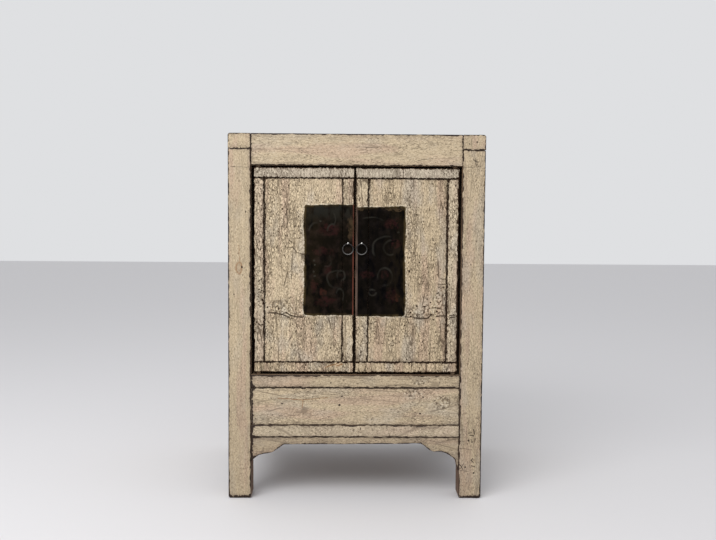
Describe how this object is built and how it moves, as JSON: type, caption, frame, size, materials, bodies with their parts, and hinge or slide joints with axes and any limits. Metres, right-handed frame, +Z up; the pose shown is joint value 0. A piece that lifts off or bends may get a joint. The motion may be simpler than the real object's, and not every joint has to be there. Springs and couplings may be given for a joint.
{
  "type": "kang cabinet",
  "caption": "Small lacquered cabinet with mortised posts and rails, two framed doors on wooden pivots, ring pulls, a shelf, a hidden compartment and a shaped apron.",
  "frame": {"origin": "on the floor under the middle of the cabinet", "axes": "+Z up, the doors face -Y, +X to the right seen from the front"},
  "size_m": [0.6, 0.4536, 0.86],
  "materials": {
    "cream_lacquer": "crackled cream lacquer, worn dark at the edges",
    "bare_wood": "aged bare elm",
    "dark_iron": "hand-forged, dull"
  },
  "bodies": {
    "carcass": {"post_front_left": "cream_lacquer", "post_front_right": "cream_lacquer", "post_rear_left": "cream_lacquer", "post_rear_right": "cream_lacquer", "top_end_left": "cream_lacquer", "top_end_right": "cream_lacquer", "top_rail_front": "cream_lacquer", "top_rail_rear": "cream_lacquer", "middle_rail_front": "cream_lacquer", "middle_rail_rear": "cream_lacquer", "middle_rail_left": "cream_lacquer", "middle_rail_right": "cream_lacquer", "lower_rail_front": "cream_lacquer", "lower_rail_rear": "cream_lacquer", "lower_rail_left": "cream_lacquer", "lower_rail_right": "cream_lacquer", "lower_panel_front": "cream_lacquer", "lower_panel_rear": "cream_lacquer", "lower_panel_left": "cream_lacquer", "lower_panel_right": "cream_lacquer", "side_panel_left": "cream_lacquer", "side_panel_right": "cream_lacquer", "top_board_front": "cream_lacquer", "top_board_middle": "cream_lacquer", "top_board_rear": "cream_lacquer", "apron_front": "cream_lacquer", "apron_left": "cream_lacquer", "apron_right": "cream_lacquer", "back_board_left": "bare_wood", "back_board_middle": "bare_wood", "back_board_right": "bare_wood", "top_batten_left": "bare_wood", "top_batten_right": "bare_wood", "floor_bearer_left": "bare_wood", "floor_bearer_right": "bare_wood", "floor_board_front": "bare_wood", "floor_board_rear": "bare_wood", "bottom_board_front": "bare_wood", "bottom_board_rear": "bare_wood", "shelf_board": "bare_wood", "shelf_bearer_left": "bare_wood", "shelf_bearer_right": "bare_wood"},
    "door_left": {"door_top_rail_left": "cream_lacquer", "door_bottom_rail_left": "cream_lacquer", "door_hinge_stile_left": "cream_lacquer", "door_meeting_stile_left": "cream_lacquer", "door_panel_left": "cream_lacquer", "door_battens_left": "bare_wood", "ring_pin_left": "dark_iron"},
    "ring_left": {"ring_left": "dark_iron"},
    "door_right": {"door_top_rail_right": "cream_lacquer", "door_bottom_rail_right": "cream_lacquer", "door_hinge_stile_right": "cream_lacquer", "door_meeting_stile_right": "cream_lacquer", "door_panel_right": "cream_lacquer", "door_battens_right": "bare_wood", "ring_pin_right": "dark_iron"},
    "ring_right": {"ring_right": "dark_iron"},
    "lift_board": {"lift_board": "bare_wood"}
  },
  "joints": [
    {"name": "door_left_hinge", "type": "hinge", "parent": "carcass", "child": "door_left", "pos_m": [-0.23, -0.21, 0.301], "axis": [0, 0, -1], "range_deg": [0, 100]},
    {"name": "ring_left_swing", "type": "hinge", "parent": "door_left", "child": "ring_left", "pos_m": [-0.01995, -0.225, 0.6047], "axis": [-1, 0, 0], "range_deg": [0, 170]},
    {"name": "door_right_hinge", "type": "hinge", "parent": "carcass", "child": "door_right", "pos_m": [0.23, -0.21, 0.301], "axis": [0, 0, 1], "range_deg": [0, 100]},
    {"name": "ring_right_swing", "type": "hinge", "parent": "door_right", "child": "ring_right", "pos_m": [0.01195, -0.225, 0.6047], "axis": [-1, 0, 0], "range_deg": [0, 170]},
    {"name": "lift_board_lift", "type": "slide", "parent": "carcass", "child": "lift_board", "axis": [0, 0, 1], "range_m": [0, 0.15]}
  ]
}
